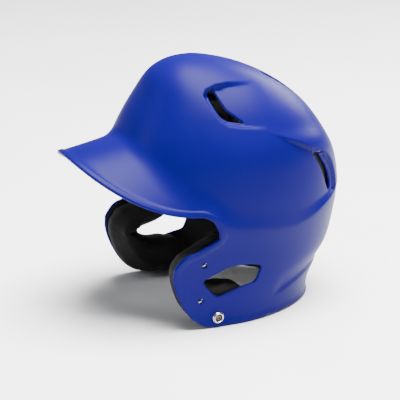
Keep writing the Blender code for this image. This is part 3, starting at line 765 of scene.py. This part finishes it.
def new_object(name, points, faces, finish, body="root"):
    """A named piece from points in millimetres, riding on a body."""
    mesh = bpy.data.meshes.new(name)
    world = (np.asarray(points, float) + np.array([0, ORIGIN_SHIFT_Y, 0])) * MM
    mesh.from_pydata(world.tolist(), [], faces)
    mesh.shade_smooth()
    mesh.materials.append(finish)
    made = bpy.data.objects.new(name, mesh)
    bpy.context.scene.collection.objects.link(made)
    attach(made, body)
    return made


# ---------------------------------------------------------------- materials

# Each finish goes from a darker to a lighter colour
SHELL_COLOURS = ((0.0033, 0.0008, 0.0800), (0.0038, 0.0009, 0.0920))
# The near-black of the shell's inner faces is painted shade for the dark inside of the helmet.
INSIDE_SHADE_COLOURS = ((0.006, 0.006, 0.008), (0.010, 0.010, 0.013))
FOAM_COLOURS = ((0.0055, 0.0055, 0.006), (0.011, 0.011, 0.012))
CLOTH_COLOURS = ((0.0045, 0.0043, 0.0045), (0.0125, 0.0120, 0.0120))
STEEL_COLOURS = ((0.46, 0.45, 0.44), (0.62, 0.61, 0.60))
BRASS_COLOURS = ((0.10, 0.08, 0.06), (0.20, 0.17, 0.13))
FLOOR_COLOURS = ((0.86, 0.86, 0.87), (0.88, 0.88, 0.89))
NOISE_RANGE = (0.3, 0.7)


class Nodes:
    """Short way to wire up a material."""

    def __init__(self, name):
        self.material = bpy.data.materials.new(name)
        self.material.use_nodes = True
        self.tree = self.material.node_tree
        self.surface = self.tree.nodes["Principled BSDF"]
        self.place = self.add("ShaderNodeTexCoord").outputs["Object"]

    def add(self, kind, **settings):
        node = self.tree.nodes.new(kind)
        for key, value in settings.items():
            setattr(node, key, value)
        return node

    def link(self, source, target):
        self.tree.links.new(source, target)

    def noise(self, scale, detail, roughness=0.5):
        node = self.add("ShaderNodeTexNoise")
        node.inputs["Scale"].default_value = scale
        node.inputs["Detail"].default_value = detail
        node.inputs["Roughness"].default_value = roughness
        self.link(self.place, node.inputs["Vector"])
        return node.outputs["Fac"]

    def colours(self, source, pair, ends=NOISE_RANGE):
        """Base colour from a pair of colours, mixed between the two ends of the source."""
        node = self.add("ShaderNodeValToRGB")
        for element, place, colour in zip(node.color_ramp.elements, ends, pair):
            element.position = place
            element.color = (*colour, 1.0)
        self.link(source, node.inputs["Fac"])
        self.link(node.outputs["Color"], self.surface.inputs["Base Color"])

    def spread(self, source, low, high):
        """A noise's usual range, spread over the range from low to high."""
        node = self.add("ShaderNodeMapRange")
        node.inputs["From Min"].default_value = NOISE_RANGE[0]
        node.inputs["From Max"].default_value = NOISE_RANGE[1]
        node.inputs["To Min"].default_value = low
        node.inputs["To Max"].default_value = high
        self.link(source, node.inputs["Value"])
        return node.outputs["Result"]

    def math(self, operation, a, b):
        node = self.add("ShaderNodeMath", operation=operation)
        for socket, value in zip(node.inputs, (a, b)):
            if isinstance(value, (int, float)):
                socket.default_value = value
            else:
                self.link(value, socket)
        return node.outputs[0]

    def bump(self, *layers):
        """Layers of (height, strength, distance), one on top of the other."""
        normal = None
        for height, strength, distance in layers:
            node = self.add("ShaderNodeBump")
            node.inputs["Strength"].default_value = strength
            node.inputs["Distance"].default_value = distance
            self.link(height, node.inputs["Height"])
            if normal:
                self.link(normal, node.inputs["Normal"])
            normal = node.outputs["Normal"]
        self.link(normal, self.surface.inputs["Normal"])

    def set(self, **values):
        for key, value in values.items():
            self.surface.inputs[key.replace("_", " ")].default_value = value

    def roughness(self, source):
        self.link(source, self.surface.inputs["Roughness"])


def shell_material():
    made = Nodes("shell_paint")
    cloudy = made.noise(14.0, 3.0)
    made.colours(cloudy, SHELL_COLOURS)
    broad = made.spread(cloudy, 0.38, 0.44)
    fine = made.spread(made.noise(950.0, 2.0), -0.03, 0.03)
    made.roughness(made.math("ADD", broad, fine))
    made.bump((made.noise(420.0, 2.0), 0.05, 0.0004), (made.noise(2200.0, 2.0), 0.10, 0.00012))
    made.set(IOR=1.48, Specular_IOR_Level=0.06)
    return made.material


# Near-black finish for the shell's inner faces: painted shade, not the shell's own colour.
def inside_shade_material():
    made = Nodes("shell_inside_painted_shade")
    patchy = made.noise(90.0, 3.0)
    made.colours(patchy, INSIDE_SHADE_COLOURS)
    made.roughness(made.spread(patchy, 0.55, 0.70))
    made.bump((made.noise(600.0, 2.0), 0.15, 0.0002),)
    return made.material


def foam_material():
    made = Nodes("liner_foam")
    cells = made.add("ShaderNodeTexVoronoi", feature="F1")
    cells.inputs["Scale"].default_value = 1500.0
    made.link(made.place, cells.inputs["Vector"])
    patchy = made.noise(60.0, 4.0)
    made.colours(patchy, FOAM_COLOURS)
    made.roughness(made.spread(patchy, 0.82, 0.95))
    made.bump((cells.outputs["Distance"], 0.35, 0.0004), (made.noise(180.0, 3.0), 0.25, 0.0006))
    return made.material


def cloth_material():
    made = Nodes("pad_cloth")
    waves = []
    for direction in "XYZ":
        wave = made.add("ShaderNodeTexWave", wave_type="BANDS", bands_direction=direction)
        wave.inputs["Scale"].default_value = 330.0
        wave.inputs["Distortion"].default_value = 0.8
        wave.inputs["Detail"].default_value = 1.0
        made.link(made.place, wave.inputs["Vector"])
        waves.append(wave.outputs["Fac"])
    knit = made.math("MULTIPLY", made.math("ADD", waves[0], waves[1]), waves[2])
    fuzz = made.noise(900.0, 4.0, 0.65)
    patchy = made.noise(38.0, 4.0, 0.6)
    tone = made.math("ADD", made.math("MULTIPLY", patchy, 0.7), made.math("MULTIPLY", fuzz, 0.3))
    made.colours(tone, CLOTH_COLOURS, (0.33, 0.68))
    made.roughness(made.spread(fuzz, 0.86, 1.0))
    made.bump((knit, 0.35, 0.0005), (fuzz, 0.5, 0.0004))
    made.set(Sheen_Weight=0.03, Sheen_Roughness=0.5, Specular_IOR_Level=0.2)
    return made.material


def metal_material(name, pair, rough):
    made = Nodes(name)
    stain = made.noise(240.0, 4.0, 0.6)
    turning = made.noise(1800.0, 2.0)
    made.colours(stain, pair, (0.35, 0.65))
    made.roughness(made.spread(stain, rough - 0.05, rough + 0.10))
    made.bump((turning, 0.12, 0.0001),)
    made.set(Metallic=1.0)
    return made.material


SHELL = shell_material()
INSIDE_SHADE = inside_shade_material()
FOAM = foam_material()
CLOTH = cloth_material()
STEEL = metal_material("plated_steel", STEEL_COLOURS, 0.14)
BRASS = metal_material("screw_brass", BRASS_COLOURS, 0.30)


# ---------------------------------------------------------------- shell

shell_points, shell_faces, (inner_start, inner_end) = thicken(*build_shell_mesh())
shell = new_object("helmet_shell", shell_points, shell_faces, SHELL)
# The inner faces take the near-black painted shade.
shell.data.materials.append(INSIDE_SHADE)
for face in shell.data.polygons:
    if min(face.vertices) >= inner_start and max(face.vertices) < inner_end:
        face.material_index = 1
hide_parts("shell")


# ---------------------------------------------------------------- soft pieces

RELAX_FACTOR = 0.5
CLOTH_PRESSURE = 4.0
CLOTH_FRAMES = 20
CLOTH_QUALITY = 6
CLOTH_STIFFNESS = 12
CLOTH_BENDING = 0.4
FOAM_SHRINK = 0.0004
FOAM_VOXEL = 0.0026
FOAM_CALM = 3


def copy_of(node, name, shrink):
    """A mesh copy of a CAD node, drawn in a little along its normals."""
    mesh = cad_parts[node].data.copy()
    mesh.name = name
    maker = bmesh.new()
    maker.from_mesh(mesh)
    bmesh.ops.remove_doubles(maker, verts=maker.verts, dist=1e-6)
    maker.normal_update()
    for vert, move in [(v, v.normal * -shrink) for v in maker.verts]:
        vert.co += move
    maker.to_mesh(mesh)
    maker.free()
    made = bpy.data.objects.new(name, mesh)
    bpy.context.scene.collection.objects.link(made)
    return made


def apply_modifiers(piece):
    graph = bpy.context.evaluated_depsgraph_get()
    mesh = bpy.data.meshes.new_from_object(piece.evaluated_get(graph))
    piece.modifiers.clear()
    old = piece.data
    piece.data = mesh
    bpy.data.meshes.remove(old)


def remeshed(piece, size):
    maker = piece.modifiers.new("remesh", "REMESH")
    maker.mode = "VOXEL"
    maker.voxel_size = size
    apply_modifiers(piece)


def relax(piece, repeats):
    """Evens out the surface."""
    smoother = piece.modifiers.new("smooth", "SMOOTH")
    smoother.factor = RELAX_FACTOR
    smoother.iterations = repeats
    apply_modifiers(piece)


def inflate(piece, cap):
    """Blows the piece up as cloth, with no gravity, and limits how far a point may go."""
    start = np.array([v.co for v in piece.data.vertices])
    scene = bpy.context.scene
    cloth = piece.modifiers.new("cloth", "CLOTH")
    cloth.settings.use_pressure = True
    cloth.settings.uniform_pressure_force = CLOTH_PRESSURE
    cloth.settings.effector_weights.gravity = 0.0
    cloth.settings.quality = CLOTH_QUALITY
    cloth.settings.tension_stiffness = CLOTH_STIFFNESS
    cloth.settings.compression_stiffness = CLOTH_STIFFNESS
    cloth.settings.bending_stiffness = CLOTH_BENDING
    cloth.point_cache.frame_start = 1
    cloth.point_cache.frame_end = CLOTH_FRAMES
    for number in range(1, CLOTH_FRAMES + 1):
        scene.frame_set(number)
    apply_modifiers(piece)
    scene.frame_set(1)
    moved = np.array([v.co for v in piece.data.vertices])
    step = moved - start
    length = np.maximum(np.linalg.norm(step, axis=1, keepdims=True), 1e-9)
    moved = start + step * np.minimum(1, cap / length)
    for vert, place in zip(piece.data.vertices, moved):
        vert.co = place


def finish_soft(piece, finish, node):
    """Gives a soft piece its finish and its place in the frame."""
    piece.data.materials.clear()
    piece.data.materials.append(finish)
    piece.data.shade_smooth()
    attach(piece, "root")
    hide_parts(node)


def soft_pad(node, shrink=0.0012, voxel=0.004, cap=0.0035, calm=2):
    """A cloth-covered pad: the CAD solid drawn in, made fine, calmed and then blown up."""
    piece = copy_of(node, node + "_cover", shrink)
    remeshed(piece, voxel)
    relax(piece, calm)
    inflate(piece, cap)
    divide = piece.modifiers.new("divide", "SUBSURF")
    divide.levels = divide.render_levels = 1
    apply_modifiers(piece)
    finish_soft(piece, CLOTH, node)
    return piece


def foam_block(node):
    """A bare foam piece, softened at its edges."""
    piece = copy_of(node, node + "_block", FOAM_SHRINK)
    remeshed(piece, FOAM_VOXEL)
    relax(piece, FOAM_CALM)
    finish_soft(piece, FOAM, node)
    return piece


def mirrored(piece, name, node):
    """The same piece for the wearer's right."""
    mesh = piece.data.copy()
    mesh.transform(Matrix.Scale(-1, 4, Vector((1, 0, 0))))
    mesh.flip_normals()
    made = bpy.data.objects.new(name, mesh)
    bpy.context.scene.collection.objects.link(made)
    finish_soft(made, mesh.materials[0], node)
    return made


for node in ("crown_pad", "brow_pad", "nape_pad"):
    soft_pad(node)
for part in ("temple_pad", "rear_pad", "jaw_pad"):
    if part == "jaw_pad":
        pad = soft_pad("left_" + part, shrink=0.0002, voxel=0.003, cap=0.0012, calm=1)
    else:
        pad = soft_pad("left_" + part)
    mirrored(pad, f"right_{part}_cover", "right_" + part)
for node in ("crown_foam", "brow_foam", "rear_foam", "nape_foam"):
    foam_block(node)
for part in ("side_foam", "temple_foam", "ear_pad"):
    block = foam_block("left_" + part)
    mirrored(block, f"right_{part}_block", "right_" + part)


# ---------------------------------------------------------------- hardware

LATHE_SIDES = 48
SHARP_DEGREES = 38


def lathe(name, profile, place, outward, finish, node, socket=0.0):
    """Turned piece; profile pairs are (radius, distance outward from the place).

    Loops no wider than the socket are six-sided.
    """
    maker = bmesh.new()
    loops = []
    for radius, reach in profile:
        loop = []
        for i in range(LATHE_SIDES):
            turn = 2 * math.pi * i / LATHE_SIDES
            wide = radius
            if socket and radius <= socket:
                sixth = math.pi / 3
                wide = radius * math.cos(sixth / 2) / math.cos((turn % sixth) - sixth / 2)
            loop.append(maker.verts.new((wide * math.cos(turn), wide * math.sin(turn), reach)))
        loops.append(loop)
    closed = profile[0] == profile[-1]
    for a, b in zip(loops[:-1], loops[1:]):
        for i in range(LATHE_SIDES):
            maker.faces.new((a[i - 1], a[i], b[i], b[i - 1]))
    if not closed:
        for loop in (loops[0], loops[-1]):
            maker.faces.new(loop)
    bmesh.ops.remove_doubles(maker, verts=maker.verts, dist=1e-4)
    bmesh.ops.recalc_face_normals(maker, faces=maker.faces)
    aim = Vector(outward).to_track_quat("Z", "Y").to_matrix().to_4x4()
    maker.transform(Matrix.Translation(Vector(place)) @ aim)
    maker.verts.index_update()
    points = np.array([v.co for v in maker.verts])
    faces = [[v.index for v in f.verts] for f in maker.faces]
    maker.free()
    made = new_object(name, points, faces, finish)
    made.data.set_sharp_from_angle(angle=math.radians(SHARP_DEGREES))
    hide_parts(node)
    return made


def bevelled(points, size):
    """Profile with its corners cut, twice, so that turned edges catch the light."""
    closed = points[0] == points[-1]
    core = points[:-1] if closed else points
    made = []
    for i, here in enumerate(core):
        if not closed and i in (0, len(core) - 1):
            made.append(here)
            continue
        here = np.array(here, float)
        before = np.array(core[i - 1], float) - here
        after = np.array(core[(i + 1) % len(core)], float) - here
        cut = min(size, 0.4 * np.linalg.norm(before), 0.4 * np.linalg.norm(after))
        start = here + before / np.linalg.norm(before) * cut
        end = here + after / np.linalg.norm(after) * cut
        made += [tuple(start), tuple((start + end) / 4 + here / 2), tuple(end)]
    return made + [made[0]] if closed else made


FIT_GAP = 0.3
BARREL_RADIUS = 3.1
BORE_RADIUS = 2.3
THREAD_DEPTH = 0.2
THREAD_PITCH = 0.7
BEVEL = 0.25
RING_BEVEL = 0.3
INSERT_TOP = -1.5
FLANGE_RADIUS = 6.5
INNER = -SHELL_THICKNESS - FIT_GAP
FLANGE = INNER - 1.2
NUT_BORE_RADIUS = 2.0
NUT_TOP = -0.6
SOCKET_RADIUS = 1.8
INSERT_PROFILE = [(BORE_RADIUS, INSERT_TOP), (BARREL_RADIUS, INSERT_TOP), (BARREL_RADIUS, INNER),
                  (FLANGE_RADIUS, INNER), (FLANGE_RADIUS, FLANGE), (BORE_RADIUS, FLANGE)]
RING_PROFILE = [(3.5, FIT_GAP), (6.0, FIT_GAP), (6.0, 1.3), (5.5, 1.5), (5.2, 2.6), (4.6, 3.2),
                (4.1, 3.0), (3.7, 2.2), (3.5, 1.2), (3.5, FIT_GAP)]
SCREW_PROFILE = [(0.0, 0.0), (1.75, 0.0), (SOCKET_RADIUS, 1.9), (2.3, 1.9), (3.1, 1.1), (3.1, 0.5),
                 (1.75, -0.4), (1.75, FLANGE), (0.0, FLANGE)]
NUT_PROFILE = [(NUT_BORE_RADIUS, NUT_TOP), (BARREL_RADIUS, NUT_TOP), (BARREL_RADIUS, INNER),
               (FLANGE_RADIUS, INNER), (FLANGE_RADIUS, FLANGE), (NUT_BORE_RADIUS, FLANGE),
               (NUT_BORE_RADIUS, NUT_TOP)]


def threaded(profile):
    """Insert profile with the bore's side turned into ridges, and closed."""
    bore = []
    z = FLANGE
    while z < INSERT_TOP - THREAD_PITCH:
        bore += [(BORE_RADIUS, z), (BORE_RADIUS + THREAD_DEPTH, z + THREAD_PITCH / 2)]
        z += THREAD_PITCH
    return bevelled(profile[:-1], BEVEL) + bore + [profile[0]]


for side, sign in (("left", 1), ("right", -1)):
    flip = np.array([sign, 1, 1])
    for level, spot in INSERT_PLACES.items():
        place, outward = surface_frame(*spot)
        lathe(f"{side}_{level}_insert_turned", threaded(INSERT_PROFILE), place * flip,
              outward * flip, STEEL, f"{side}_{level}_guard_insert")
    place, outward = surface_frame(*SNAP_PLACE)
    lathe(f"{side}_snap_ring", bevelled(RING_PROFILE, RING_BEVEL), place * flip, outward * flip,
          STEEL, f"{side}_snap_stud")
    lathe(f"{side}_snap_screw_turned", bevelled(SCREW_PROFILE, BEVEL), place * flip,
          outward * flip, BRASS, f"{side}_snap_screw", socket=SOCKET_RADIUS)
    lathe(f"{side}_snap_nut_turned", bevelled(NUT_PROFILE, BEVEL), place * flip,
          outward * flip, STEEL, f"{side}_snap_nut")


# ---------------------------------------------------------------- floor, light and camera

FLOOR_SIZE = 12.0
FLOOR_DROP = 0.0002
CAMERA_LENS = 152.5
CAMERA_PLACE = (1.4906, -0.6979, 0.6293)
CAMERA_RIGHT = (0.4184, 0.9081, 0.0167)
CAMERA_BACK = (0.8628, -0.4032, 0.3048)


def stage_floor():
    made = Nodes("floor")
    grain = made.noise(3.0, 2.0)
    made.colours(grain, FLOOR_COLOURS)
    made.roughness(made.spread(grain, 0.45, 0.55))
    bpy.ops.mesh.primitive_plane_add(size=FLOOR_SIZE, location=(0, 0, -FLOOR_DROP))
    floor = bpy.context.object
    floor.name = "floor"
    floor.data.materials.append(made.material)


def area_light(name, place, target, size, power):
    """A rectangular light that faces its target."""
    data = bpy.data.lights.new(name, "AREA")
    data.shape = "RECTANGLE"
    data.size, data.size_y = size
    data.energy = power
    light = bpy.data.objects.new(name, data)
    bpy.context.scene.collection.objects.link(light)
    light.location = place
    aim = Vector(target) - Vector(place)
    light.rotation_euler = aim.to_track_quat("-Z", "Y").to_euler()


def build_camera():
    data = bpy.data.cameras.new("camera")
    data.lens = CAMERA_LENS
    data.sensor_width = 36.0
    data.clip_start = 0.05
    data.clip_end = 50.0
    camera = bpy.data.objects.new("camera", data)
    bpy.context.scene.collection.objects.link(camera)
    right = Vector(CAMERA_RIGHT).normalized()
    back = Vector(CAMERA_BACK).normalized()
    up = back.cross(right).normalized()
    right = up.cross(back)
    turn = Matrix((right, up, back)).transposed().to_4x4()
    place = Vector(CAMERA_PLACE) + Vector((0, ORIGIN_SHIFT_Y * MM, 0))
    camera.matrix_world = Matrix.Translation(place) @ turn
    bpy.context.scene.camera = camera


stage_floor()
area_light("top", place=(0.15, 0.22, 2.0), target=(0.0, 0.0, 0.15), size=(1.6, 1.6), power=300.0)
area_light("front", place=(-0.9, -2.2, 1.0), target=(0.0, -0.05, 0.16), size=(0.7, 0.6), power=10.0)
area_light("rear", place=(-0.9, 1.6, 0.95), target=(0.0, 0.05, 0.18), size=(0.9, 0.6), power=38.0)
world = bpy.data.worlds.new("studio")
world.use_nodes = True
backdrop = world.node_tree.nodes["Background"]
backdrop.inputs["Color"].default_value = (0.93, 0.95, 1.0, 1.0)
backdrop.inputs["Strength"].default_value = 0.34
bpy.context.scene.world = world
build_camera()
